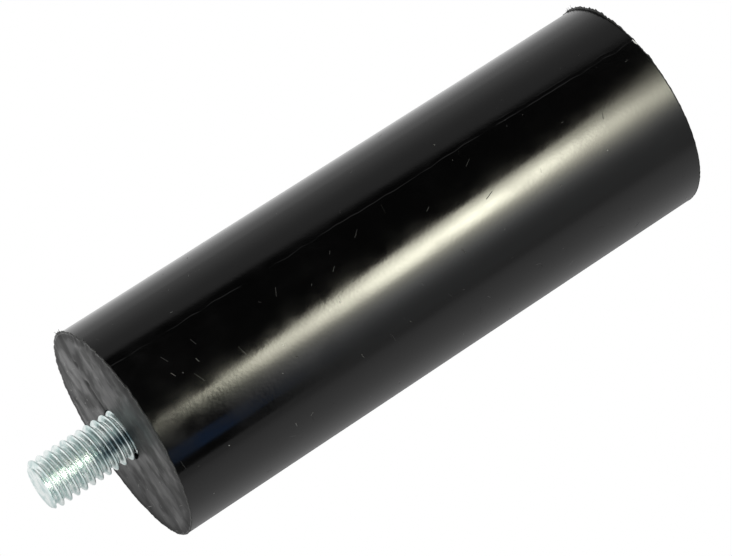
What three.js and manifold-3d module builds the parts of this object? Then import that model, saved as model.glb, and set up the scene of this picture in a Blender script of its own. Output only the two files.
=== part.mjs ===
// Screw-in rubber bumper of a ladder stabilizer: a moulded rubber cylinder on a threaded steel stud.
//
// Millimetres. The origin is the centre of the seat face, where the stud leaves the rubber. +X runs along the
// rubber to its plain contact face, the stud points along -X, and +Z is up with the bumper lying on its side.

import * as THREE from "three";
import { mergeVertices } from "three/addons/utils/BufferGeometryUtils.js";
import Module from "manifold-3d";

const wasm = await Module();
wasm.setup();

// ---- driving dimensions ----

const GAP = 0.3; // space kept between pieces that touch
const OVERRUN = 1; // how far a cutting or joining shape runs past the face it works on

const BODY = {
  radius: 20,
  length: 110.5,
  rimRadius: 0.25, // the mould leaves the rims almost sharp
  skin: 3.1, // rubber between the seat face and the washer
  studHoleRadius: 5.1,
  sides: 120,
};

// 3/8-16 UNC external thread, right-hand
const THREAD = {
  pitch: 25.4 / 16,
  crestRadius: 4.675,
  rootRadius: 3.79,
  crestWidth: 0.3,
  rootWidth: 0.27,
  stepsPerTurn: 36,
};

const STUD = {
  exposed: 16.5, // from the seat face to the tip
  tipFaceRadius: 4.05, // the tip's edge is chamfered at 45 degrees
  shankRadius: 4.2,
  shankLength: 2.6, // the plain length under the head
  runOut: 0.9, // length over which the thread fades out
  sides: 48,
};

// 3/8 inch hex head
const HEAD = {
  acrossFlats: 14.29,
  height: 6,
  crownRadius: 6.85, // the flat top inside the chamfered corners
  chamfer: 0.9,
};

const WASHER = {
  outerRadius: 15.875,
  holeRadius: 5.2,
  thickness: 2,
  chamfer: 0.25,
  sides: 96,
};

// ---- places along X ----

const tipX = -STUD.exposed;
const washerFrontX = BODY.skin + GAP;
const washerBackX = washerFrontX + WASHER.thickness;
const headFrontX = washerBackX + GAP;
const headBackX = headFrontX + HEAD.height;
const threadEndX = headFrontX - STUD.shankLength;

// ---- helpers ----

/** Revolves [x, radius] points around the X axis. They run from the low end to the high end. */
function revolve(profile, sides) {
  const points = profile.map(([x, radius]) => new THREE.Vector2(radius, x));
  const geometry = new THREE.LatheGeometry(points, sides);
  geometry.rotateZ(-Math.PI / 2);
  return geometry;
}

/** A regular hexagonal prism along X. */
function hexPrism(acrossFlats, startX, endX) {
  const corners = Array.from({ length: 6 }, (_, corner) => {
    const angle = (corner * Math.PI) / 3;
    const radius = acrossFlats / Math.sqrt(3);
    return new THREE.Vector2(radius * Math.cos(angle), radius * Math.sin(angle));
  });
  const shape = new THREE.Shape(corners);
  const geometry = new THREE.ExtrudeGeometry(shape, { depth: endX - startX, bevelEnabled: false });
  geometry.rotateY(Math.PI / 2);
  geometry.translate(startX, 0, 0);
  return geometry;
}

/** Turns a closed geometry into a solid that can be joined and cut. */
function toSolid(geometry) {
  const bare = geometry.clone();
  bare.deleteAttribute("normal");
  bare.deleteAttribute("uv");
  const merged = mergeVertices(bare);
  const corners = merged.index.array;
  const triangles = [];
  for (let i = 0; i < corners.length; i += 3) {
    const [a, b, c] = corners.slice(i, i + 3);
    const isFlat = a === b || b === c || c === a;
    if (!isFlat) triangles.push(a, b, c);
  }
  const mesh = new wasm.Mesh({
    numProp: 3,
    vertProperties: new Float32Array(merged.attributes.position.array),
    triVerts: new Uint32Array(triangles),
  });
  return new wasm.Manifold(mesh);
}

/** Turns a solid back into a geometry. */
function toGeometry(solid) {
  const mesh = solid.getMesh();
  const geometry = new THREE.BufferGeometry();
  geometry.setAttribute("position", new THREE.BufferAttribute(mesh.vertProperties, 3));
  geometry.setIndex(new THREE.BufferAttribute(mesh.triVerts, 1));
  geometry.computeVertexNormals();
  return geometry;
}

// ---- rubber body ----

/** A quarter circle of the rim, as four [x, radius] points. Angle 0 faces -X, a right angle faces outward. */
function rimRound(centreX, startAngle) {
  const { radius, rimRadius } = BODY;
  return [0, 1, 2, 3].map((step) => {
    const angle = startAngle + (step * Math.PI) / 6;
    return [centreX - rimRadius * Math.cos(angle), radius - rimRadius + rimRadius * Math.sin(angle)];
  });
}

/** The outside of the rubber, before the insert's pocket is cut. */
function plainCylinder() {
  const { length, rimRadius, sides } = BODY;
  const seatRim = rimRound(rimRadius, 0);
  const contactRim = rimRound(length - rimRadius, Math.PI / 2);
  return revolve([[0, 0], ...seatRim, ...contactRim, [length, 0]], sides);
}

/** The room for the stud and the washer. It opens through the seat face. */
function insertRoom() {
  const washerRadius = WASHER.outerRadius + GAP;
  const profile = [
    [-OVERRUN, 0],
    [-OVERRUN, BODY.studHoleRadius],
    [washerFrontX - GAP, BODY.studHoleRadius],
    [washerFrontX - GAP, washerRadius],
    [washerBackX + GAP, washerRadius],
    [washerBackX + GAP, 0],
  ];
  return revolve(profile, WASHER.sides);
}

/** The rubber cylinder. The steel insert fills its pocket, and the rubber grips the hex head all round. */
function rubberBody() {
  const headRoom = hexPrism(HEAD.acrossFlats + 2 * GAP, washerBackX, headBackX + GAP);
  const pocket = toSolid(insertRoom()).add(toSolid(headRoom));
  return toGeometry(toSolid(plainCylinder()).subtract(pocket));
}

// ---- threaded stud ----

/** One pitch of the thread as [x, radius] points: root flat, rising flank, crest flat. */
function threadProfile() {
  const { pitch, crestRadius, rootRadius, crestWidth, rootWidth } = THREAD;
  const flank = (pitch - crestWidth - rootWidth) / 2;
  return [
    [0, rootRadius],
    [rootWidth, rootRadius],
    [rootWidth + flank, crestRadius],
    [rootWidth + flank + crestWidth, crestRadius],
  ];
}

/** A rod with a right-hand thread along its whole length, closed by a fan of triangles at each end. */
function threadedRod(startX, turns) {
  const { pitch, stepsPerTurn } = THREAD;
  const profile = threadProfile();
  const lastStep = turns * stepsPerTurn;
  const positions = [];
  const triangles = [];

  for (let step = 0; step <= lastStep; step += 1) {
    const angle = (2 * Math.PI * (step % stepsPerTurn)) / stepsPerTurn;
    for (const [offset, radius] of profile) {
      const x = startX + (pitch * step) / stepsPerTurn + offset;
      positions.push(x, radius * Math.cos(angle), radius * Math.sin(angle));
    }
  }

  // Past the last profile point comes the first point of the next turn.
  const vertex = (step, point) =>
    point < profile.length ? step * profile.length + point : (step + stepsPerTurn) * profile.length;
  for (let step = 0; step < lastStep; step += 1) {
    const hasNextTurn = step < lastStep - stepsPerTurn;
    const strips = hasNextTurn ? profile.length : profile.length - 1;
    for (let point = 0; point < strips; point += 1) {
      triangles.push(vertex(step, point), vertex(step + 1, point), vertex(step + 1, point + 1));
      triangles.push(vertex(step, point), vertex(step + 1, point + 1), vertex(step, point + 1));
    }
  }

  const closeEnd = (loop, centreX) => {
    const centre = positions.length / 3;
    positions.push(centreX, 0, 0);
    loop.forEach((from, k) => triangles.push(centre, loop[(k + 1) % loop.length], from));
  };
  const lowEdge = Array.from({ length: stepsPerTurn + 1 }, (_, step) => vertex(step, 0));
  const highEdge = Array.from({ length: stepsPerTurn + 1 }, (_, step) => vertex(lastStep - step, 3));
  const lowStep = [3, 2, 1].map((point) => vertex(0, point));
  const highStep = [0, 1, 2].map((point) => vertex(lastStep, point));
  closeEnd([...lowEdge, ...lowStep], startX);
  closeEnd([...highEdge, ...highStep], startX + turns * pitch);

  const geometry = new THREE.BufferGeometry();
  geometry.setAttribute("position", new THREE.Float32BufferAttribute(positions, 3));
  geometry.setIndex(triangles);
  return geometry;
}

/** The thread, cut to length with its chamfered tip and its run-out. */
function threadedEnd() {
  const overlap = 2 * THREAD.pitch;
  const turns = Math.ceil((threadEndX - tipX + 2 * overlap) / THREAD.pitch);
  const limitRadius = THREAD.crestRadius + 0.1;
  const limits = [
    [tipX, 0],
    [tipX, STUD.tipFaceRadius],
    [tipX + limitRadius - STUD.tipFaceRadius, limitRadius],
    [threadEndX - STUD.runOut, limitRadius],
    [threadEndX, THREAD.rootRadius],
    [threadEndX, 0],
  ];
  return toSolid(threadedRod(tipX - overlap, turns)).intersect(toSolid(revolve(limits, STUD.sides)));
}

/** The plain length between the thread and the head. */
function shank() {
  const profile = [
    [threadEndX - STUD.runOut, 0],
    [threadEndX - STUD.runOut / 2, STUD.shankRadius],
    [headFrontX + OVERRUN, STUD.shankRadius],
    [headFrontX + OVERRUN, 0],
  ];
  return toSolid(revolve(profile, STUD.sides));
}

/** The hex head, with the corners of its top chamfered. */
function hexHead() {
  const outerRadius = HEAD.acrossFlats / Math.sqrt(3) + 0.2;
  const limits = [
    [headFrontX - OVERRUN, 0],
    [headFrontX - OVERRUN, outerRadius],
    [headBackX - HEAD.chamfer, outerRadius],
    [headBackX, HEAD.crownRadius],
    [headBackX, 0],
  ];
  const prism = toSolid(hexPrism(HEAD.acrossFlats, headFrontX, headBackX));
  return prism.intersect(toSolid(revolve(limits, STUD.sides)));
}

/** The zinc-plated stud: threaded end, plain shank and the hex head that sits in the rubber. */
function threadedStud() {
  return toGeometry(threadedEnd().add(shank()).add(hexHead()));
}

// ---- anchor washer ----

/** The steel washer moulded in under the seat face. It spreads the stud's pull over the rubber. */
function anchorWasher() {
  const { outerRadius, holeRadius, chamfer, sides } = WASHER;
  const profile = [
    [washerBackX, holeRadius],
    [washerFrontX, holeRadius],
    [washerFrontX, outerRadius - chamfer],
    [washerFrontX + chamfer, outerRadius],
    [washerBackX - chamfer, outerRadius],
    [washerBackX, outerRadius - chamfer],
    [washerBackX, holeRadius],
  ];
  return revolve(profile, sides);
}

// ---- materials ----

const blackRubber = new THREE.MeshStandardMaterial({ color: "#19191b", roughness: 0.32, metalness: 0 });
const zincPlate = new THREE.MeshStandardMaterial({ color: "#c3ccca", roughness: 0.28, metalness: 1 });
const plainSteel = new THREE.MeshStandardMaterial({ color: "#9b9d9c", roughness: 0.45, metalness: 1 });

// ---- assembly ----

function piece(name, geometry, material) {
  const mesh = new THREE.Mesh(geometry, material);
  mesh.name = name;
  return mesh;
}

const bumper = new THREE.Group();
bumper.add(
  piece("rubber_body", rubberBody(), blackRubber),
  piece("threaded_stud", threadedStud(), zincPlate),
  piece("anchor_washer", anchorWasher(), plainSteel),
);

export default bumper;
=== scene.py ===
"""Looks of the screw-in rubber bumper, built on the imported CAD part.

Metres, in the part's frame: the origin is the centre of the seat face, +X runs along the rubber, the stud
points along -X and +Z is up. Angles round the axis are measured from +Y towards +Z.
"""

import math
import random

import bmesh
import bpy
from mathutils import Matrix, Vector, noise


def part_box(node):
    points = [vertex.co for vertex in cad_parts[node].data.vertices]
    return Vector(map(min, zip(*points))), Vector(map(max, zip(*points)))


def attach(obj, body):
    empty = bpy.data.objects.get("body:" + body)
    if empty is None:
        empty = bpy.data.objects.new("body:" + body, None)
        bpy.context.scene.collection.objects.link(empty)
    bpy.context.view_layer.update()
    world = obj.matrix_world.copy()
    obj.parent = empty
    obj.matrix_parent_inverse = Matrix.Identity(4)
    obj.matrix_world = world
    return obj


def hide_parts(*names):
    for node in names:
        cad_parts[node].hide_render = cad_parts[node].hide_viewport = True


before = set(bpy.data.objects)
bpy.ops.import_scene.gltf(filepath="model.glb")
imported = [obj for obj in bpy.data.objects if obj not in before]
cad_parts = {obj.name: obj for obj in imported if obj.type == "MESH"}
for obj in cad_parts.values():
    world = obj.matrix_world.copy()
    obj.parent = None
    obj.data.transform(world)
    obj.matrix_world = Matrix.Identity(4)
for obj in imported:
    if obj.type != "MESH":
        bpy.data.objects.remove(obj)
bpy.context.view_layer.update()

MM = 0.001
TURN = 2 * math.pi

# ---- sizes taken from the frame ----

BODY_LOW, BODY_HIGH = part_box("rubber_body")
STUD_LOW, STUD_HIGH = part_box("threaded_stud")
WASHER_LOW, WASHER_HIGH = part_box("anchor_washer")

RADIUS = BODY_HIGH.y
LENGTH = BODY_HIGH.x
TIP_X = STUD_LOW.x
HEAD_BACK_X = STUD_HIGH.x
HEAD_APOTHEM = STUD_HIGH.y

# ---- driving dimensions of the visible detail ----

# The rubber leaves this gap round its steel insert.
GAP = 0.3 * MM
WASHER_ROOM_RADIUS = WASHER_HIGH.y + GAP
HEAD_FRONT_X = WASHER_HIGH.x + GAP
STUD_HOLE_RADIUS = 5.1 * MM
HEAD_ROOM_RADIUS = 8.7 * MM

# The rounding of both rims.
RIM_RADIUS = 0.25 * MM

# Where the stud comes out, the rubber closes in round it with a small rounded lip.
LIP_START_X = 0.6 * MM
LIP_EDGE_X = 0.15 * MM
LIP_RADIUS = STUD_HOLE_RADIUS - 0.25 * MM
SEAT_INNER_RADIUS = STUD_HOLE_RADIUS - 0.15 * MM

# The stud's 3/8-16 thread. The flank falls from the crest to the root between two distances from the crest.
PITCH = 25.4 / 16 * MM
CREST_RADIUS = 4.675 * MM
ROOT_RADIUS = 3.79 * MM
FLANK_START = 0.07 * MM
FLANK_END = 0.69 * MM

# The chamfer at its tip, the run-out of its thread, its plain shank and its hex head.
TIP_FACE_RADIUS = 4.05 * MM
SHANK_RADIUS = 4.2 * MM
SHANK_LENGTH = 2.6 * MM
THREAD_RUN_OUT = 0.9 * MM
HEAD_CROWN_RADIUS = 6.85 * MM
HEAD_CHAMFER = 0.9 * MM
HEAD_FRONT_EDGE = 0.15 * MM

# The mould's halves meet in two lines, near the top and the bottom of the bumper as it lies.
PARTING_ANGLES = (math.radians(87.5), math.radians(267.5))

# The knife that trimmed the seat face dragged over it in this direction.
DRAG_ANGLE = math.radians(24)

# Two pits torn out of the seat face: y, z and width.
SEAT_PITS = (
    (12.5 * MM, 6.2 * MM, 0.5 * MM),
    (9.6 * MM, 3.8 * MM, 0.6 * MM),
)


# ---- small maths helpers ----


def smoothstep(low, high, value):
    """0 below low, 1 above high, and a smooth rise between them."""
    t = min(max((value - low) / (high - low), 0.0), 1.0)
    return t * t * (3 - 2 * t)


def hump(value, centre, width):
    """A smooth hump of height 1, that is down to a third at width from its centre."""
    return math.exp(-(((value - centre) / width) ** 2))


def ripple(x, y, z, size):
    """Smooth noise from -1 to 1 with features of about that size."""
    return noise.noise(Vector((x, y, z)) / size)


def angle_from(angle, centre):
    """How far angle is from centre, from -pi to pi."""
    return (angle - centre + math.pi) % TURN - math.pi


def round_axis(x, radius, angle):
    """The point at x, at that radius and angle round the axis."""
    return Vector((x, radius * math.cos(angle), radius * math.sin(angle)))


# ---- mesh helpers ----


def add_bands(mesh_data, rings, slot_of_band):
    """Joins closed rings of vertices with smooth quads."""
    for band, (low, high) in enumerate(zip(rings, rings[1:])):
        for i, vertex in enumerate(low):
            j = (i + 1) % len(low)
            face = mesh_data.faces.new((vertex, low[j], high[j], high[i]))
            face.smooth = True
            face.material_index = slot_of_band(band)


def close_ring(mesh_data, ring, centre, slot=0):
    """Closes a ring with a fan round a centre point."""
    middle = mesh_data.verts.new(centre)
    for i, vertex in enumerate(ring):
        face = mesh_data.faces.new((middle, ring[(i + 1) % len(ring)], vertex))
        face.smooth = True
        face.material_index = slot


def new_object(name, mesh_data, materials):
    """Turns a bmesh into an object of the scene."""
    mesh = bpy.data.meshes.new(name)
    mesh_data.to_mesh(mesh)
    mesh_data.free()
    for material in materials:
        mesh.materials.append(material)
    made = bpy.data.objects.new(name, mesh)
    bpy.context.scene.collection.objects.link(made)
    return made


def finish_piece(name, mesh_data, materials):
    """Turns a bmesh into a piece that rides on the part."""
    bmesh.ops.recalc_face_normals(mesh_data, faces=mesh_data.faces)
    piece = new_object(name, mesh_data, materials)
    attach(piece, "root")
    return piece


# ---- node helpers ----

RUBBER_IOR = 1.5


class Nodes:
    """Builds a node tree with short calls. An input is another node's output or a plain value."""

    def __init__(self, owner):
        owner.use_nodes = True
        self.tree = owner.node_tree
        self.tree.nodes.clear()

    def add(self, kind, inputs, **settings):
        """A node of that kind, with its settings made and its inputs set or linked."""
        node = self.tree.nodes.new("ShaderNode" + kind)
        for name, value in settings.items():
            setattr(node, name, value)
        for name, value in inputs.items():
            if isinstance(value, bpy.types.NodeSocket):
                self.tree.links.new(value, node.inputs[name])
            else:
                node.inputs[name].default_value = value
        return node

    def math(self, operation, *values):
        return self.add("Math", dict(enumerate(values)), operation=operation).outputs[0]

    def vector(self, operation, *values):
        return self.add("VectorMath", dict(enumerate(values)), operation=operation).outputs[0]

    def fade(self, value, low, high, from_value=0.0, to_value=1.0):
        """from_value below low, to_value above high, and a smooth change between them."""
        inputs = {"Value": value, 1: low, 2: high, 3: from_value, 4: to_value}
        return self.add("MapRange", inputs, interpolation_type="SMOOTHSTEP").outputs[0]

    def mix(self, factor, a, b):
        inputs = {"Factor": factor, 6: a, 7: b}
        return self.add("Mix", inputs, data_type="RGBA").outputs[2]

    def blend(self, factor, a, b):
        return self.add("Mix", {"Factor": factor, 2: a, 3: b}, data_type="FLOAT").outputs[0]

    def speckle(self, vector, size, detail):
        """Noise from 0 to 1 with features of about that size in metres."""
        inputs = {"Vector": vector, "Scale": 1 / size, "Detail": detail}
        return self.add("TexNoise", inputs).outputs["Fac"]

    def vector_length(self, vector):
        return self.add("VectorMath", {0: vector}, operation="LENGTH").outputs["Value"]

    def separate(self, vector):
        return self.add("SeparateXYZ", {0: vector}).outputs

    def combine(self, x, y, z=0.0):
        return self.add("CombineXYZ", {0: x, 1: y, 2: z}).outputs[0]

    def bump(self, height, distance):
        inputs = {"Height": height, "Distance": distance, "Strength": 1.0}
        return self.add("Bump", inputs).outputs[0]

    def place(self):
        """The place on the piece, in metres in the part's frame."""
        return self.add("TexCoord", {}).outputs["Object"]

    def rolled_out(self, radius):
        """The skin of a cylinder rolled out flat: x along the axis, y round it. Its seam is underneath."""
        x, y, z = self.separate(self.place())
        angle = self.math("ARCTAN2", self.math("MULTIPLY", y, -1.0), z)
        return self.combine(x, self.math("MULTIPLY", angle, radius))

    def scratches(self, plane, cell, length, width, share):
        """A mask of short straight scratches at all angles, one in a share of the cells of a loose grid."""
        cells = self.add("TexVoronoi", {"Vector": plane, "Scale": 1 / cell}, voronoi_dimensions="2D")
        chance = self.add("SeparateColor", {0: cells.outputs["Color"]}).outputs
        from_centre = self.vector("SUBTRACT", plane, cells.outputs["Position"])
        turn = self.math("MULTIPLY", chance[0], math.pi)
        inputs = {"Vector": from_centre, "Angle": turn}
        turned = self.add("VectorRotate", inputs, rotation_type="Z_AXIS").outputs[0]
        along, across, _ = self.separate(turned)
        half_length = self.math("MULTIPLY", chance[2], length / 2)
        in_length = self.math("LESS_THAN", self.math("ABSOLUTE", along), half_length)
        in_width = self.fade(self.math("ABSOLUTE", across), width * 0.2, width * 0.5, 1.0, 0.0)
        chosen = self.math("LESS_THAN", chance[1], share)
        return self.math("MULTIPLY", self.math("MULTIPLY", in_length, in_width), chosen)

    def specks(self, cell, size, share):
        """A mask of small round specks, one in a share of the cells of a loose 3-D grid."""
        cells = self.add("TexVoronoi", {"Vector": self.place(), "Scale": 1 / cell})
        chance = self.add("SeparateColor", {0: cells.outputs["Color"]}).outputs
        reach = self.math("MULTIPLY", chance[1], size / cell)
        near = self.math("LESS_THAN", cells.outputs["Distance"], reach)
        return self.math("MULTIPLY", near, self.math("LESS_THAN", chance[0], share))

    def rubber(self, colour, roughness, normal):
        """Ends the material as plain rubber."""
        inputs = {"Base Color": colour, "Roughness": roughness, "IOR": RUBBER_IOR, "Normal": normal}
        self.surface(self.add("BsdfPrincipled", inputs).outputs[0])

    def metal(self, colour, roughness, normal):
        """Ends the material as bare or plated metal."""
        inputs = {"Base Color": colour, "Metallic": 1.0, "Roughness": roughness, "Normal": normal}
        self.surface(self.add("BsdfPrincipled", inputs).outputs[0])

    def surface(self, shader_output, target="OutputMaterial"):
        self.add(target, {"Surface": shader_output})

    def seen(self):
        """1 for what the camera sees directly, and 0 for light and reflections."""
        return self.add("LightPath", {}).outputs["Is Camera Ray"]


def make_material(name):
    """A new material and the builder of its nodes."""
    material = bpy.data.materials.new(name)
    return material, Nodes(material)


# ---- materials of the object ----

# These move the grids of the hairlines and the nicks, so that they don't line up with the scuffs.
HAIRLINE_SHIFT = (3.1 * MM, 1.7 * MM, 0.0)
NICK_SHIFT = (1.3 * MM, 4.1 * MM, 0.0)


def moulded_rubber():
    """Glossy black rubber as it leaves the mould: orange peel, dust, scratches, nicks and a slight haze."""
    material, n = make_material("moulded_rubber")
    skin = n.rolled_out(RADIUS)
    haze = n.speckle(n.place(), 9 * MM, 4.0)
    scuffs = n.scratches(skin, 5.0 * MM, 1.1 * MM, 0.10 * MM, 0.15)
    hairlines = n.scratches(n.vector("ADD", skin, HAIRLINE_SHIFT), 9 * MM, 2.6 * MM, 0.08 * MM, 0.35)
    dust = n.specks(2.4 * MM, 0.17 * MM, 0.30)
    marks = n.math("MAXIMUM", n.math("MULTIPLY", scuffs, 0.8), dust)
    marks = n.math("MAXIMUM", marks, n.math("MULTIPLY", hairlines, 0.2))
    x, _, _ = n.separate(n.place())
    marks = n.math("MULTIPLY", marks, n.fade(x, 15 * MM, 45 * MM, 1.0, 0.4))

    black, scuffed = (0.0009, 0.0009, 0.001, 1), (0.16, 0.165, 0.16, 1)
    colour = n.mix(marks, black, scuffed)
    smears = n.speckle(n.vector("MULTIPLY", skin, (0.5, 1.0, 1.0)), 1.8 * MM, 4.0)
    hazy = n.fade(haze, 0.35, 0.7, 0.085, 0.14)
    smeared = n.fade(smears, 0.35, 0.7, 0.0, 0.03)
    duller_end = n.fade(x, 80 * MM, 110 * MM, 0.0, 0.07)
    roughness = n.math("ADD", hazy, smeared)
    roughness = n.math("ADD", roughness, n.math("MULTIPLY", marks, 0.35))
    roughness = n.math("ADD", roughness, duller_end)
    nicks = n.scratches(n.vector("ADD", skin, NICK_SHIFT), 6 * MM, 1.8 * MM, 0.16 * MM, 0.25)
    roughness = n.math("ADD", roughness, n.math("MULTIPLY", nicks, 0.5))
    peel = n.speckle(skin, 0.6 * MM, 3.0)
    relief = n.math("SUBTRACT", peel, n.math("MULTIPLY", scuffs, 0.3))
    n.rubber(colour, roughness, n.bump(relief, 0.0045 * MM))
    return material


def moulded_rubber_end():
    """The contact face: the same rubber, a little duller, with the fine rings of the mould's turned plate."""
    material, n = make_material("moulded_rubber_end")
    _, y, z = n.separate(n.place())
    plane = n.combine(y, z)
    distance = n.vector_length(plane)
    rings = n.speckle(n.combine(distance, 0.0), 0.35 * MM, 3.0)
    haze = n.speckle(n.place(), 7 * MM, 4.0)
    scuffs = n.scratches(plane, 4.5 * MM, 3.0 * MM, 0.13 * MM, 0.45)
    marks = n.math("MAXIMUM", n.math("MULTIPLY", scuffs, 0.6), n.specks(2.4 * MM, 0.16 * MM, 0.25))

    black, scuffed = (0.0012, 0.0012, 0.0014, 1), (0.12, 0.12, 0.115, 1)
    colour = n.mix(marks, black, scuffed)
    roughness = n.math("ADD", n.fade(haze, 0.3, 0.7, 0.16, 0.28), n.math("MULTIPLY", marks, 0.3))
    relief = n.math("ADD", rings, n.math("MULTIPLY", scuffs, -0.8))
    n.rubber(colour, roughness, n.bump(relief, 0.008 * MM))
    return material


def trimmed_rubber():
    """The seat face: duller, dragged and torn by the knife that trimmed it, most of all at its edge."""
    material, n = make_material("trimmed_rubber")
    _, y, z = n.separate(n.place())
    plane = n.combine(y, z)
    patches = n.speckle(n.place(), 5 * MM, 3.0)
    sway = n.math("MULTIPLY", n.speckle(n.place(), 9 * MM, 1.0), 7 * MM)
    bent = n.vector("ADD", plane, n.combine(sway, sway))
    turned = n.add("VectorRotate", {"Vector": bent, "Angle": -DRAG_ANGLE}, rotation_type="Z_AXIS").outputs[0]
    streaks = n.speckle(n.vector("MULTIPLY", turned, (0.28, 1.0, 1.0)), 4.2 * MM, 3.0)
    tears = n.speckle(n.vector("MULTIPLY", turned, (0.6, 1.0, 1.0)), 0.9 * MM, 3.0)
    scuffs = n.scratches(plane, 2.6 * MM, 2.6 * MM, 0.14 * MM, 0.42)
    wander = n.math("MULTIPLY", n.speckle(n.place(), 1.9 * MM, 3.0), 2.4 * MM)
    edge = n.fade(n.math("ADD", n.vector_length(plane), wander), 19.0 * MM, 20.4 * MM)
    torn = n.math("MAXIMUM", edge, n.fade(patches, 0.42, 0.62))
    marks = n.math("MAXIMUM", n.math("MULTIPLY", scuffs, 0.7), n.specks(1.8 * MM, 0.18 * MM, 0.35))
    marks = n.math("MULTIPLY", marks, n.fade(z, -6 * MM, 4 * MM, 1.0, 0.25))

    wear_and_painted_shade = n.math("MULTIPLY", n.fade(streaks, 0.35, 0.7), n.math("SUBTRACT", 1.0, edge))
    # The grey drag marks fade out towards the bottom of the face: painted shade, darker lower down.
    wear_and_painted_shade = n.math("MULTIPLY", wear_and_painted_shade, n.fade(z, -16 * MM, 4 * MM, 0.3, 1.0))
    dark, grey, scratched = (0.004, 0.004, 0.004, 1), (0.028, 0.028, 0.027, 1), (0.36, 0.36, 0.345, 1)
    colour = n.mix(marks, n.mix(wear_and_painted_shade, dark, grey), scratched)
    roughness = n.math("ADD", n.fade(streaks, 0.35, 0.65, 0.48, 0.33), n.math("MULTIPLY", torn, 0.22))
    depth = n.math("ADD", n.math("MULTIPLY", torn, 0.5), 0.1)
    relief = n.math("ADD", streaks, n.math("MULTIPLY", tears, depth))
    relief = n.math("SUBTRACT", relief, n.math("MULTIPLY", scuffs, 0.2))
    n.rubber(colour, roughness, n.bump(relief, 0.06 * MM))
    return material


def torn_rubber():
    """Thin flash and torn hairs along the rims: matt and a little grey."""
    material, n = make_material("torn_rubber")
    grain = n.speckle(n.place(), 0.25 * MM, 3.0)
    black, grey = (0.003, 0.003, 0.003, 1), (0.02, 0.021, 0.018, 1)
    colour = n.mix(grain, black, grey)
    n.rubber(colour, n.fade(grain, 0.3, 0.7, 0.35, 0.6), n.bump(grain, 0.03 * MM))
    return material


def pale_glint_fleck():
    """A pale crumb caught on the far rim, where a parting line meets it, coloured near white for the glint
    there: partly a real crumb and partly a painted highlight.
    """
    material, n = make_material("pale_glint_fleck")
    grain = n.speckle(n.place(), 0.2 * MM, 2.0)
    # These near-white colours paint the far rim's glint into the crumb.
    grey, glint_pale = (0.62, 0.63, 0.60, 1), (0.9, 0.9, 0.87, 1)
    colour = n.mix(grain, grey, glint_pale)
    inputs = {"Base Color": colour, "Roughness": n.fade(grain, 0.3, 0.7, 0.4, 0.6)}
    n.surface(n.add("BsdfPrincipled", inputs).outputs[0])
    return material


def zinc_plate():
    """Bright zinc on rolled steel, with the fine rings of thread rolling and a dark patch near the rubber
    that is painted shade and a painted dark reflection of the rubber.
    """
    material, n = make_material("zinc_plate")
    x, y, z = n.separate(n.place())
    rings = n.speckle(n.combine(x, 0.0), 0.09 * MM, 3.0)
    bloom = n.speckle(n.place(), 1.4 * MM, 1.0)

    # The painted shade and dark reflection lie on the upper front of the stud near the rubber, between these
    # degrees round the axis.
    angle = n.math("DEGREES", n.math("ARCTAN2", z, y))
    painted_shade_mask = n.math("MULTIPLY", n.fade(angle, 98.0, 122.0), n.fade(angle, 134.0, 156.0, 1.0, 0.0))
    painted_shade_mask = n.math("MULTIPLY", painted_shade_mask, n.fade(x, -9 * MM, -4 * MM))
    painted_shade_mask = n.math("MULTIPLY", painted_shade_mask, n.fade(bloom, 0.25, 0.6, 0.6, 0.95))

    # The third colour is the dark teal of the painted shade and reflection near the rubber.
    bright, dull, painted_shade_colour = (0.92, 0.985, 0.97, 1), (0.62, 0.75, 0.74, 1), (0.14, 0.21, 0.24, 1)
    colour = n.mix(painted_shade_mask, n.mix(n.fade(bloom, 0.35, 0.7), bright, dull), painted_shade_colour)
    roughness = n.fade(bloom, 0.35, 0.65, 0.27, 0.38)
    relief = n.math("ADD", n.math("MULTIPLY", rings, 0.02), bloom)
    n.metal(colour, roughness, n.bump(relief, 0.08 * MM))
    return material


def plain_steel():
    """The washer in the rubber: pressed steel, grey, with rolling marks."""
    material, n = make_material("plain_steel")
    _, y, z = n.separate(n.place())
    rolling = n.speckle(n.combine(n.math("MULTIPLY", y, 0.05), z), 0.2 * MM, 3.0)
    dark, light = (0.42, 0.42, 0.42, 1), (0.58, 0.58, 0.57, 1)
    colour = n.mix(rolling, dark, light)
    roughness = n.fade(rolling, 0.3, 0.7, 0.35, 0.5)
    n.metal(colour, roughness, n.bump(rolling, 0.01 * MM))
    return material


# ---- rubber bumper ----

EVEN_COLUMNS = 300
SEAT_STEPS = 40
SIDE_STEPS = 150
CONTACT_STEPS = 24
FLAT_RADIUS = RADIUS - RIM_RADIUS

# A parting line leans, wanders and jitters sideways by these angles. The mesh's columns go with it, fully
# up to the first angle from it and less and less up to the second, in radians.
PARTING_LEAN = math.radians(3.2)
PARTING_WANDER = math.radians(1.6)
PARTING_JITTER = math.radians(0.8)
DRIFT_REACH = (0.07, 0.4)

# Each parting line is a fine ridge. Some way along, a fainter second ridge runs beside it. RIDGE_COLUMNS are
# the mesh's columns across each ridge, in mm, and no even column comes within RIDGE_ZONE of the line.
RIDGE_WIDTH = 0.11 * MM
RIDGE_HEIGHT = 0.034 * MM
SECOND_RIDGE_HEIGHT = 0.013 * MM
SECOND_RIDGE_OFFSET = -0.8 * MM
RIDGE_COLUMNS = (-0.35, -0.2, -0.13, -0.07, 0.0, 0.07, 0.13, 0.2, 0.35)
RIDGE_ZONE = 1.35 * MM

# The waviness of the moulded side: heights and sizes.
SIDE_WAVES = ((0.014 * MM, 19 * MM), (0.003 * MM, 6 * MM))

# The cut channel runs along the knife's drag, this far beside the axis.
CHANNEL_OFFSET = 0.7 * MM
CHANNEL_WIDTH = 0.4 * MM
CHANNEL_DEPTH = 0.1 * MM
PIT_DEPTH = 0.5 * MM
HOLLOW_DEPTH = 0.12 * MM

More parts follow.
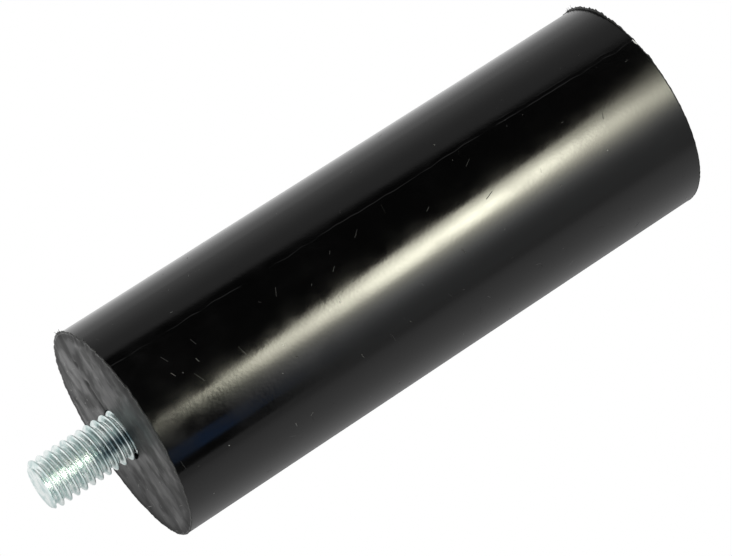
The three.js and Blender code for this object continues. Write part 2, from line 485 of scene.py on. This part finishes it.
# Each rim is rounded in RIM_STEPS, with a narrow step of RIM_MARGIN beside it on the side.
RIM_STEPS = 4
RIM_MARGIN = 0.06 * MM


def body_columns():
    """Angles of the mesh's columns: even, and close together at the parting ridges."""
    even = [TURN * i / EVEN_COLUMNS for i in range(EVEN_COLUMNS)]
    clear = RIDGE_ZONE / RADIUS
    columns = [a for a in even if all(abs(angle_from(a, p)) > clear for p in PARTING_ANGLES)]
    for parting in PARTING_ANGLES:
        for ridge in (0.0, SECOND_RIDGE_OFFSET):
            columns += [parting + (ridge + offset * MM) / RADIUS for offset in RIDGE_COLUMNS]
    return sorted(columns)


def parting_drift(x):
    """How far the parting lines wander sideways at x, as an angle."""
    lean = PARTING_LEAN * (x / LENGTH - 0.6)
    wander = PARTING_WANDER * ripple(x, 0.31, 0.0, 21 * MM)
    return lean + wander + PARTING_JITTER * ripple(x, 0.77, 0.0, 2.5 * MM)


def ridge_relief(x, angle):
    """How far the parting ridges stand out: ragged, and gone in places."""
    height = 0.0
    for parting in PARTING_ANGLES:
        across = angle_from(angle, parting) * RADIUS
        if abs(across) > 2 * MM:
            continue
        raggedness = ripple(x, parting, 0.0, 5 * MM) + 0.9 * ripple(x, parting, 3.0, 1.5 * MM)
        first = smoothstep(-0.9, 0.5, raggedness)
        second = smoothstep(-0.4, 0.6, ripple(x, parting, 9.0, 3 * MM)) * smoothstep(0.55, 0.75, x / LENGTH)
        height += RIDGE_HEIGHT * first * hump(across, 0.0, RIDGE_WIDTH)
        height += SECOND_RIDGE_HEIGHT * second * hump(across, SECOND_RIDGE_OFFSET, RIDGE_WIDTH)
    return height


def side_relief(x, angle):
    """How far the moulded side stands out of the true cylinder."""
    point = round_axis(x, RADIUS, angle)
    wave = sum(height * ripple(*point, size) for height, size in SIDE_WAVES)
    return wave + ridge_relief(x, angle)


def drag_relief(y, z):
    """How far the seat face stands out: broad drag marks, a cut channel and two pits."""
    along = y * math.cos(DRAG_ANGLE) + z * math.sin(DRAG_ANGLE)
    across = z * math.cos(DRAG_ANGLE) - y * math.sin(DRAG_ANGLE)
    across += 1.6 * MM * ripple(along, across, 11.0, 9 * MM)
    marks = 0.05 * MM * ripple(along * 0.3, across, 2.0, 3.5 * MM) * smoothstep(-8 * MM, 6 * MM, along)
    marks += 0.12 * MM * ripple(along * 0.45, across, 5.0, 8 * MM)
    channel = hump(across, CHANNEL_OFFSET, CHANNEL_WIDTH) * smoothstep(4.0 * MM, 5.5 * MM, along)
    channel *= 1 - smoothstep(9 * MM, 13 * MM, along)
    pits = 0.0
    for pit_y, pit_z, width in SEAT_PITS:
        pits += PIT_DEPTH * hump(math.hypot(y - pit_y, z - pit_z), 0.0, width)
    return marks - CHANNEL_DEPTH * channel - pits


def contact_relief(y, z):
    """The plain end face: nearly flat, with a slight hollow from the rubber's shrinkage."""
    hollow = HOLLOW_DEPTH * hump(math.hypot(y, z), 0.0, 0.6 * RADIUS)
    return 0.02 * MM * ripple(y, z, 7.0, 5 * MM) - hollow


def rim_points(centre_x, start_angle):
    """A quarter circle of the rim as (x, radius) points."""
    points = []
    for step in range(RIM_STEPS + 1):
        angle = start_angle + step * math.pi / (2 * RIM_STEPS)
        x = centre_x - RIM_RADIUS * math.cos(angle)
        points.append((x, FLAT_RADIUS + RIM_RADIUS * math.sin(angle)))
    return points


def pocket_profile():
    """The rooms for the stud's head and the washer, and the hole out to the seat face."""
    return [
        (HEAD_BACK_X + GAP, HEAD_ROOM_RADIUS),
        (HEAD_FRONT_X, HEAD_ROOM_RADIUS),
        (HEAD_FRONT_X, WASHER_ROOM_RADIUS),
        (WASHER_LOW.x - GAP, WASHER_ROOM_RADIUS),
        (WASHER_LOW.x - GAP, STUD_HOLE_RADIUS),
        (LIP_START_X, STUD_HOLE_RADIUS),
        (LIP_EDGE_X, LIP_RADIUS),
    ]


def seat_profile():
    """The seat face from the stud's hole out to the rim."""
    width = FLAT_RADIUS - SEAT_INNER_RADIUS
    return [(0.0, SEAT_INNER_RADIUS + width * i / SEAT_STEPS) for i in range(SEAT_STEPS)]


def side_profile():
    """Both rims and the long side between them. The narrow step beside each rim keeps its shading clean."""
    start = RIM_RADIUS + RIM_MARGIN
    run = LENGTH - 2 * start
    side = [(start + run * i / SIDE_STEPS, RADIUS) for i in range(SIDE_STEPS + 1)]
    return rim_points(RIM_RADIUS, 0.0) + side + rim_points(LENGTH - RIM_RADIUS, math.pi / 2)


def contact_profile():
    """The contact face from the rim in to the axis."""
    return [(LENGTH, FLAT_RADIUS * (1 - i / CONTACT_STEPS)) for i in range(1, CONTACT_STEPS)]


def bulge(angle, centre_degrees, width_degrees):
    """A hump of height 1 round one place of a rim."""
    return hump(angle_from(angle, math.radians(centre_degrees)), 0.0, math.radians(width_degrees))


def rim_retreat(angle):
    """How far the trimmed seat rim is torn back, most of all along its top."""
    at = angle * RADIUS
    torn = 1 + ripple(at, 3.0, 0.0, 1.7 * MM) + 0.5 * ripple(at, 8.0, 0.0, 0.8 * MM)
    return (0.10 + 0.22 * bulge(angle, 82, 42)) * MM * max(torn, 0.0)


def seat_point(x, radius, angle):
    """A point of the seat face, which is torn back at its edge."""
    point = round_axis(x, radius, angle)
    inside = smoothstep(0.0, 0.6 * MM, FLAT_RADIUS - radius)
    near_edge = 1 - smoothstep(0.1 * MM, 1.9 * MM, FLAT_RADIUS - radius)
    point.x += near_edge * rim_retreat(angle)
    point.x -= drag_relief(point.y, point.z) * inside
    return point


def side_point(x, radius, angle):
    """A point of the rims or the side, moved round with the nearest parting line."""
    nearest = min(abs(angle_from(angle, p)) for p in PARTING_ANGLES)
    follow = 1 - smoothstep(*DRIFT_REACH, nearest)
    point = round_axis(x, radius + side_relief(x, angle), angle + parting_drift(x) * follow)
    at_seat = 1 - smoothstep(0.1 * MM, 2.6 * MM, x)
    point.x += at_seat * rim_retreat(angle)
    return point


def contact_point(x, radius, angle):
    """A point of the contact face, which is true at its edge."""
    point = round_axis(x, radius, angle)
    edge = smoothstep(0.0, 2 * MM, FLAT_RADIUS - radius)
    point.x += contact_relief(point.y, point.z) * edge
    return point


def add_body(mesh_data):
    """The rubber's closed skin. Material slots: 0 the side, 1 the seat face, 2 the contact face."""
    sections = (
        (pocket_profile(), round_axis, 1),
        (seat_profile(), seat_point, 1),
        (side_profile(), side_point, 0),
        (contact_profile(), contact_point, 2),
    )
    columns = body_columns()
    rings = []
    slots = []
    for profile, point_at, slot in sections:
        for x, radius in profile:
            rings.append([mesh_data.verts.new(point_at(x, radius, angle)) for angle in columns])
            slots.append(slot)
    add_bands(mesh_data, rings, lambda band: slots[band])
    close_ring(mesh_data, rings[0], Vector((HEAD_BACK_X + GAP, 0, 0)), 1)
    close_ring(mesh_data, rings[-1], contact_point(LENGTH, 0.0, 0.0), 2)


# ---- flash and torn hairs on the rims ----

FLASH_COLUMNS = 1400
FLASH_SLOT = 3
FLECK_SLOT = 4
FIN_INSET = 0.12 * MM
FIN_DEPTH = 0.2 * MM
FIN_HALF_ROOT = 0.11 * MM
FIN_HALF_TIP = 0.03 * MM
FIN_LEAN = 0.25
FIN_WANDER = 0.06 * MM
HAIR_STEPS = 5
HAIR_SIDES = 5
HAIR_HALF_ROOT = 0.07 * MM
HAIR_INSET = 0.05 * MM
HAIR_SEED = 7

# The crumb, which also serves as a painted glint, is two short thick hairs: degrees round the far rim, and
# how much each one tilts outward.
FLECKS = ((88.6, 0.25), (89.8, 0.05))
FLECK_LENGTH = 0.95 * MM
FLECK_HALF_ROOT = 0.14 * MM
FLECK_INSET = 0.25 * MM
FLECK_LIFT = 0.08 * MM
FLECK_BEND = -0.1


def ragged(angle, seed, size):
    """A torn edge: about 0.5 to 1.5, in chunks with a finer tooth on them."""
    chunks = ripple(angle * RADIUS, seed, 0.0, size * 2.5)
    tooth = ripple(angle * RADIUS, seed, 4.0, size * 0.8)
    return 1.0 + 0.7 * chunks + 0.5 * tooth


def contact_flash_height(angle):
    """The far rim's flash: thick along the top back edge, and thin elsewhere."""
    envelope = 0.04 + 0.55 * bulge(angle, 54, 26) + 0.25 * bulge(angle, 97, 12) + 0.25 * bulge(angle, 300, 40)
    return envelope * MM * ragged(angle, 1.0, 0.7 * MM)


def seat_flash_height(angle):
    """The seat rim's flash: short and torn, longest at the top back edge."""
    envelope = 0.07 + 0.34 * bulge(angle, 66, 32)
    envelope += 0.14 * bulge(angle, 104, 10) + 0.18 * bulge(angle, 335, 40)
    return envelope * MM * ragged(angle, 2.0, 0.6 * MM)


def seat_rim_x(angle):
    """Where the seat rim's flash grows: the rim is torn back there, so it depends on the angle."""
    return FIN_INSET + rim_retreat(angle)


def contact_rim_x(angle):
    """Where the far rim's flash grows: the same at every angle."""
    return LENGTH - FIN_INSET


def add_fin(mesh_data, rim_x, height_at, lean):
    """A thin ragged fin of rubber standing out of a rim all the way round."""
    root_radius = RADIUS - FIN_DEPTH
    rings = [[], [], [], []]
    for i in range(FLASH_COLUMNS):
        angle = TURN * i / FLASH_COLUMNS
        height = height_at(angle)
        centre_x = rim_x(angle)
        top_x = centre_x + lean * height + FIN_WANDER * ripple(angle * RADIUS, lean, 9.0, 0.8 * MM)
        top = RADIUS + height
        corners = (
            (centre_x - FIN_HALF_ROOT, root_radius),
            (top_x - FIN_HALF_TIP, top),
            (top_x + FIN_HALF_TIP, top),
            (centre_x + FIN_HALF_ROOT, root_radius),
        )
        for ring, (x, radius) in zip(rings, corners):
            ring.append(mesh_data.verts.new(round_axis(x, radius, angle)))
    add_bands(mesh_data, rings + rings[:1], lambda band: FLASH_SLOT)


def add_hair(mesh_data, start, direction, length, bend, half_root=HAIR_HALF_ROOT, slot=FLASH_SLOT):
    """One tapered hair, curved to one side."""
    side = direction.orthogonal().normalized()
    other = direction.cross(side)
    rings = []
    for step in range(HAIR_STEPS + 1):
        t = step / HAIR_STEPS
        centre = start + direction * length * t + side * bend * length * t * t
        half_width = half_root * (1 - 0.8 * t)
        ring = []
        for corner in range(HAIR_SIDES):
            a = TURN * corner / HAIR_SIDES
            ring.append(mesh_data.verts.new(centre + (side * math.cos(a) + other * math.sin(a)) * half_width))
        rings.append(ring)
    add_bands(mesh_data, rings, lambda band: slot)
    close_ring(mesh_data, rings[0], start, slot)
    close_ring(mesh_data, rings[-1], start + (direction + side * bend) * length, slot)


def add_tuft(mesh_data, generator, rim_x, centre, spread, count, length):
    """A tuft of torn hairs round one place of a rim, with its centre and spread in degrees."""
    for _ in range(count):
        angle = math.radians(generator.gauss(centre, spread))
        outward = round_axis(0.0, 1.0, angle)
        along = round_axis(0.0, 1.0, angle + math.pi / 2)
        direction = outward + along * generator.uniform(-1.0, 1.0)
        direction.x = generator.uniform(-0.5, 0.5)
        start = round_axis(rim_x(angle), RADIUS - HAIR_INSET, angle)
        hair_length = length * generator.uniform(0.5, 1.0)
        add_hair(mesh_data, start, direction.normalized(), hair_length, generator.uniform(-0.5, 0.5))


def add_glint_flecks(mesh_data):
    """The pale crumb on the far rim, partly a painted highlight."""
    for degrees, tilt in FLECKS:
        angle = math.radians(degrees)
        start = round_axis(LENGTH - FLECK_INSET, RADIUS + FLECK_LIFT, angle)
        direction = (round_axis(0.0, 1.0, angle + math.pi / 2) + round_axis(0.0, tilt, angle)).normalized()
        add_hair(mesh_data, start, direction, FLECK_LENGTH, FLECK_BEND, FLECK_HALF_ROOT, FLECK_SLOT)


def rubber_bumper():
    """The moulded rubber with its flash, as one piece."""
    mesh_data = bmesh.new()
    add_body(mesh_data)
    add_fin(mesh_data, seat_rim_x, seat_flash_height, -FIN_LEAN)
    add_fin(mesh_data, contact_rim_x, contact_flash_height, FIN_LEAN)
    add_glint_flecks(mesh_data)
    generator = random.Random(HAIR_SEED)
    add_tuft(mesh_data, generator, seat_rim_x, centre=28, spread=6, count=6, length=1.0 * MM)
    add_tuft(mesh_data, generator, contact_rim_x, centre=33, spread=5, count=6, length=1.2 * MM)
    materials = (moulded_rubber(), trimmed_rubber(), moulded_rubber_end(), torn_rubber(), pale_glint_fleck())
    piece = finish_piece("rubber_bumper", mesh_data, materials)
    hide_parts("rubber_body")


# ---- threaded stud ----

THREAD_COLUMNS = 96
ROWS_PER_PITCH = 16
SHARP_ANGLE = math.radians(50)

# The tip's shallow dimple: shares of the root radius and depths, and the depth of its middle.
DIMPLE = ((0.92, 0.0), (0.6, 0.02 * MM), (0.3, 0.1 * MM))
DIMPLE_DEPTH = 0.14 * MM


def thread_radius(phase):
    """Radius of the rolled thread at a phase from 0 to 1 along one pitch. The crest is in the middle."""
    from_crest = abs(phase % 1.0 - 0.5) * PITCH
    fall = smoothstep(FLANK_START, FLANK_END, from_crest)
    return CREST_RADIUS + (ROOT_RADIUS - CREST_RADIUS) * fall


def stud_radius(x, angle):
    """Radius of the stud: chamfered tip, thread, run-out and shank."""
    phase = (x - TIP_X) / PITCH - angle / TURN
    threaded = min(thread_radius(phase), TIP_FACE_RADIUS + (x - TIP_X))
    thread_end = HEAD_FRONT_X - SHANK_LENGTH
    run_out = smoothstep(thread_end - THREAD_RUN_OUT, thread_end, x)
    return threaded + (SHANK_RADIUS - threaded) * run_out


def hexagon_radius(angle):
    """Distance from the axis to the side of the hex head. A flat faces +Y."""
    from_flat = (angle + TURN / 12) % (TURN / 6) - TURN / 12
    return HEAD_APOTHEM / math.cos(from_flat)


def stud_ring(mesh_data, x, radius_at):
    """One ring of the stud, with radius_at giving the radius at each angle."""
    angles = [TURN * i / THREAD_COLUMNS for i in range(THREAD_COLUMNS)]
    return [mesh_data.verts.new(round_axis(x, radius_at(angle), angle)) for angle in angles]


def add_thread(mesh_data):
    """The threaded rod as a grid whose rows climb with the thread. Returns its two plain end rings."""
    pitches = math.ceil((HEAD_FRONT_X - TIP_X) / PITCH)
    rows = []
    for row in range(-ROWS_PER_PITCH, (pitches + 1) * ROWS_PER_PITCH + 1):
        ring = []
        for column in range(THREAD_COLUMNS):
            angle = TURN * column / THREAD_COLUMNS
            x = TIP_X + PITCH * (row / ROWS_PER_PITCH + angle / TURN)
            x = min(max(x, TIP_X), HEAD_FRONT_X)
            ring.append(mesh_data.verts.new(round_axis(x, stud_radius(x, angle), angle)))
        rows.append(ring)

    # A row climbs one pitch in a turn, so its end meets the start of the row one pitch further on.
    for row, (low, high) in enumerate(zip(rows, rows[1:])):
        for i in range(THREAD_COLUMNS - 1):
            mesh_data.faces.new((low[i], low[i + 1], high[i + 1], high[i])).smooth = True
        ahead = row + ROWS_PER_PITCH
        if ahead + 1 < len(rows):
            mesh_data.faces.new((low[-1], rows[ahead][0], rows[ahead + 1][0], high[-1])).smooth = True
    return rows[0], rows[-1]


def add_tip(mesh_data, outer):
    """The stud's end face, with a shallow dimple in the middle."""
    rings = [outer]
    for share, depth in DIMPLE:
        rings.append(stud_ring(mesh_data, TIP_X + depth, lambda angle: share * ROOT_RADIUS))
    add_bands(mesh_data, rings, lambda band: 0)
    close_ring(mesh_data, rings[-1], Vector((TIP_X + DIMPLE_DEPTH, 0, 0)))


def add_head(mesh_data, inner):
    """The hex head that holds the stud in the rubber."""
    rings = [inner]
    rings.append(stud_ring(mesh_data, HEAD_FRONT_X, lambda angle: HEAD_CROWN_RADIUS))
    rings.append(stud_ring(mesh_data, HEAD_FRONT_X + HEAD_FRONT_EDGE, hexagon_radius))
    rings.append(stud_ring(mesh_data, HEAD_BACK_X - HEAD_CHAMFER, hexagon_radius))
    rings.append(stud_ring(mesh_data, HEAD_BACK_X, lambda angle: HEAD_CROWN_RADIUS))
    add_bands(mesh_data, rings, lambda band: 0)
    close_ring(mesh_data, rings[-1], Vector((HEAD_BACK_X, 0, 0)))


def threaded_stud():
    """The zinc-plated stud: tip, rolled thread, shank and hex head in one closed mesh."""
    mesh_data = bmesh.new()
    first, last = add_thread(mesh_data)
    add_tip(mesh_data, first)
    add_head(mesh_data, last)
    bmesh.ops.remove_doubles(mesh_data, verts=mesh_data.verts, dist=0.001 * MM)
    piece = finish_piece("zinc_stud", mesh_data, (zinc_plate(),))
    piece.data.set_sharp_from_angle(angle=SHARP_ANGLE)
    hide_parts("threaded_stud")


# ---- studio ----

# The camera looks at AIM from this azimuth, from -Y towards +X, and elevation, in degrees. Its distance is in
# metres and its lens in mm.
AIM = Vector((0.0515, -0.0003, 0.0))
CAMERA_AZIMUTH = -37.26
CAMERA_ELEVATION = 58.42
CAMERA_DISTANCE = 0.5594
CAMERA_LENS = 158.86
CAMERA_CLIP_START = 0.01

FLOOR_SIZE = 12.0

# The softbox and the card stand round STUDIO_CENTRE. Their places are in degrees: azimuth from +X towards +Y,
# and elevation. The softbox's top edge bows down to the left of KEY_BOW_START, and its left edge leans in
# above KEY_LEAN_START.
STUDIO_CENTRE = Vector((0.05, 0.0, 0.0))
KEY_DISTANCE = 1.4
KEY_STEPS = 24
KEY_LEFT = -74.8
KEY_RIGHT = -8.0
KEY_TOP = 61.3
KEY_BOW_START = -42.0
KEY_BOW = 0.0076
KEY_LEAN_START = 10.0
KEY_LEAN = 0.0037
CARD_AZIMUTHS = (-79.2, -75.6)
CARD_ELEVATIONS = (11.0, 25.0)

# The softbox's glow: a hot spot that leans to the right going up, with a brighter core in it whose right end
# leans more and rises. Some way below its middle a skirt starts, which falls off downwards.
HOT_AZIMUTH = -55.0
HOT_ELEVATION = 50.0
HOT_WIDTH = 9.0
HOT_LEAN = 0.64
HOT_LEVEL = 6.6
SIDE_LEVEL = 2.4
BASE_LEVEL = 0.4
CORE_ELEVATION = 50.5
CORE_WIDTH = 6.6
CORE_LEAN = 1.24
CORE_RISE_START = -54.2
CORE_RISE = 0.9
SKIRT_BELOW = 6.0
SKIRT_LENGTH = 7.8

WHITE = (1, 1, 1, 1)
IVORY = (1.0, 0.985, 0.80, 1)
COOL_WHITE = (0.96, 0.975, 0.98, 1)
NAVY = (0.10, 0.22, 0.5, 1)


def bearing(n, vector):
    """The azimuth from +X towards +Y and the elevation of a direction, in degrees."""
    x, y, z = n.separate(vector)
    level = n.math("SQRT", n.math("ADD", n.math("MULTIPLY", x, x), n.math("MULTIPLY", y, y)))
    azimuth = n.math("DEGREES", n.math("ARCTAN2", y, x))
    elevation = n.math("DEGREES", n.math("ARCTAN2", z, level))
    return azimuth, elevation


def node_hump(n, value, centre, width):
    """A smooth hump of height 1 in nodes, as hump() is in numbers."""
    t = n.math("DIVIDE", n.math("SUBTRACT", value, centre), width)
    return n.math("EXPONENT", n.math("MULTIPLY", n.math("MULTIPLY", t, t), -1.0))


def emitter(name, glow):
    """An emission material. glow gives its level and tint in nodes, and the camera sees it plain white."""
    material, n = make_material(name)
    level, tint = glow(n)
    seen = n.seen()
    colour = n.mix(seen, tint, WHITE)
    level = n.blend(seen, level, 1.0)
    n.surface(n.add("Emission", {"Color": colour, "Strength": level}).outputs[0])
    return material


def key_glow(n):
    """The softbox: a slanted hot spot near its upper middle that fades to the sides and down to the floor."""
    azimuth, elevation = bearing(n, n.place())
    above = n.math("SUBTRACT", elevation, HOT_ELEVATION)
    slanted = n.math("SUBTRACT", azimuth, n.math("MULTIPLY", above, HOT_LEAN))
    across = n.math("MULTIPLY", node_hump(n, slanted, HOT_AZIMUTH, HOT_WIDTH), HOT_LEVEL)
    across = n.math("ADD", across, SIDE_LEVEL)
    end = n.math("SUBTRACT", azimuth, n.math("MULTIPLY", above, CORE_LEAN))
    past_start = n.math("MAXIMUM", n.math("SUBTRACT", end, CORE_RISE_START), 0.0)
    rise = n.math("MULTIPLY", past_start, CORE_RISE)
    core = node_hump(n, n.math("SUBTRACT", elevation, rise), CORE_ELEVATION, CORE_WIDTH)
    core = n.math("MULTIPLY", core, n.fade(end, -51.4, -48.6, 2.35, 0.9))
    fall = n.math("DIVIDE", n.math("ADD", above, SKIRT_BELOW), SKIRT_LENGTH)
    skirt = n.math("MINIMUM", n.math("EXPONENT", fall), 1.0)
    level = n.math("ADD", n.math("MULTIPLY", across, n.math("ADD", core, skirt)), BASE_LEVEL)
    return level, n.mix(n.fade(elevation, 24.0, 46.0), COOL_WHITE, IVORY)


def floor_glow(n):
    """The sweep under the part: brightest behind it, dimmer towards the front and in the contact shadow."""
    x, y, _ = n.separate(n.place())
    from_middle = n.math("ABSOLUTE", n.math("SUBTRACT", x, LENGTH / 2))
    out_x = n.math("MAXIMUM", n.math("SUBTRACT", from_middle, LENGTH / 2), 0.0)
    out_y = n.math("ABSOLUTE", y)
    away = n.math("SQRT", n.math("ADD", n.math("MULTIPLY", out_x, out_x), n.math("MULTIPLY", out_y, out_y)))
    back = n.math("MULTIPLY", n.fade(away, 0.04, 0.2, 1.0, 0.7), n.fade(away, 0.0, 0.05, 0.3, 1.0))
    front = n.math("MULTIPLY", n.fade(away, 0.05, 0.3, 0.58, 0.36), n.fade(away, 0.0, 0.035, 0.27, 1.0))
    front = n.math("MULTIPLY", front, n.fade(away, 0.011, 0.018, 0.35, 1.0))
    level = n.blend(n.fade(y, -0.015, 0.015), front, back)
    by_stud = n.math("MAXIMUM", n.fade(y, -0.015, 0.02, 0.56, 0.88), n.fade(x, -0.05, -0.014, 0.95, 0.56))
    return n.blend(n.fade(x, -0.003, 0.0, 1.0, 0.0), level, by_stud), WHITE


def sheet_piece(name, rows, material):
    """A stage sheet through a grid of points."""
    mesh_data = bmesh.new()
    grid = [[mesh_data.verts.new(point) for point in row] for row in rows]
    for low, high in zip(grid, grid[1:]):
        for i in range(len(low) - 1):
            mesh_data.faces.new((low[i], low[i + 1], high[i + 1], high[i]))
    sheet = new_object(name, mesh_data, (material,))
    return sheet


def from_studio(azimuth, elevation):
    """A point at the softbox's distance in that direction, in degrees, from the studio's centre."""
    a, e = math.radians(azimuth), math.radians(elevation)
    return KEY_DISTANCE * Vector((math.cos(a) * math.cos(e), math.sin(a) * math.cos(e), math.sin(e)))


def white_floor():
    """The floor that the part lies on."""
    half = FLOOR_SIZE / 2
    corners = [[Vector((x, y, BODY_LOW.z)) for x in (-half, half)] for y in (-half, half)]
    sheet_piece("floor", corners, emitter("floor_white", floor_glow))


def key_softbox():
    """A curved softbox in front of the part, with a leaning left edge and a bowed top edge."""
    rows = []
    for step in range(KEY_STEPS + 1):
        row = []
        for across in range(KEY_STEPS + 1):
            azimuth = KEY_LEFT + (KEY_RIGHT - KEY_LEFT) * across / KEY_STEPS
            top = KEY_TOP - KEY_BOW * min(azimuth - KEY_BOW_START, 0.0) ** 2
            elevation = top * step / KEY_STEPS
            lean = KEY_LEAN * max(elevation - KEY_LEAN_START, 0.0) ** 2
            azimuth += lean * (1 - across / KEY_STEPS) ** 3
            row.append(from_studio(azimuth, elevation))
        rows.append(row)
    softbox = sheet_piece("key_softbox", rows, emitter("softbox_face", key_glow))
    softbox.location = STUDIO_CENTRE


def navy_card():
    """A small dark blue card past the softbox's left edge, which the rubber mirrors low on its stud end."""
    corners = [[from_studio(azimuth, e) for azimuth in CARD_AZIMUTHS] for e in CARD_ELEVATIONS]
    card = sheet_piece("navy_card", corners, emitter("navy_card", lambda n: (1.0, NAVY)))
    card.location = STUDIO_CENTRE


def studio_world():
    """A white sweep behind the part, a wall beyond the stud, a strip light over it, and a dim room above."""
    world = bpy.data.worlds.new("studio")
    bpy.context.scene.world = world
    n = Nodes(world)
    direction = n.add("TexCoord", {}).outputs["Generated"]
    x, y, _ = n.separate(direction)
    _, elevation = bearing(n, direction)
    sweep_top = n.fade(x, 0.14, 0.5, 38.5, 48.5)
    below_top = n.fade(n.math("SUBTRACT", elevation, sweep_top), -3.0, 3.0, 1.0, 0.0)
    sweep = n.math("MULTIPLY", n.fade(elevation, 0.0, 30.0, 0.55, 0.34), below_top)
    sweep = n.math("MULTIPLY", sweep, n.fade(y, -0.1, 0.15))
    wall = n.math("MULTIPLY", n.fade(x, -0.25, 0.13, 1.1, 0.0), n.fade(elevation, 10.0, 70.0, 1.0, 0.5))
    strip = n.math("MULTIPLY", n.fade(x, 0.11, 0.2, 0.9, 0.0), n.fade(x, -0.32, -0.12))
    strip = n.math("MULTIPLY", strip, n.fade(elevation, 25.0, 45.0))
    level = n.math("MAXIMUM", n.math("MAXIMUM", sweep, wall), n.math("MAXIMUM", strip, 0.012))
    level = n.blend(n.seen(), level, 1.0)
    n.surface(n.add("Background", {"Color": n.combine(level, level, level)}).outputs[0], "OutputWorld")


def photograph_camera():
    """The camera at the photograph's viewing angle."""
    azimuth = math.radians(CAMERA_AZIMUTH)
    elevation = math.radians(CAMERA_ELEVATION)
    level = math.cos(elevation)
    back = Vector((math.sin(azimuth) * level, -math.cos(azimuth) * level, math.sin(elevation)))
    camera = bpy.data.objects.new("camera", bpy.data.cameras.new("camera"))
    camera.data.lens = CAMERA_LENS
    camera.data.clip_start = CAMERA_CLIP_START
    camera.location = AIM + back * CAMERA_DISTANCE
    camera.rotation_mode = "QUATERNION"
    camera.rotation_quaternion = back.to_track_quat("Z", "Y")
    bpy.context.scene.collection.objects.link(camera)
    bpy.context.scene.camera = camera


def finish_washer():
    """The washer keeps its CAD shape and gets its own steel."""
    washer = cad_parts["anchor_washer"]
    washer.data.materials.clear()
    washer.data.materials.append(plain_steel())


rubber_bumper()
threaded_stud()
finish_washer()
white_floor()
key_softbox()
navy_card()
studio_world()
photograph_camera()
bpy.context.scene.view_settings.view_transform = "Standard"
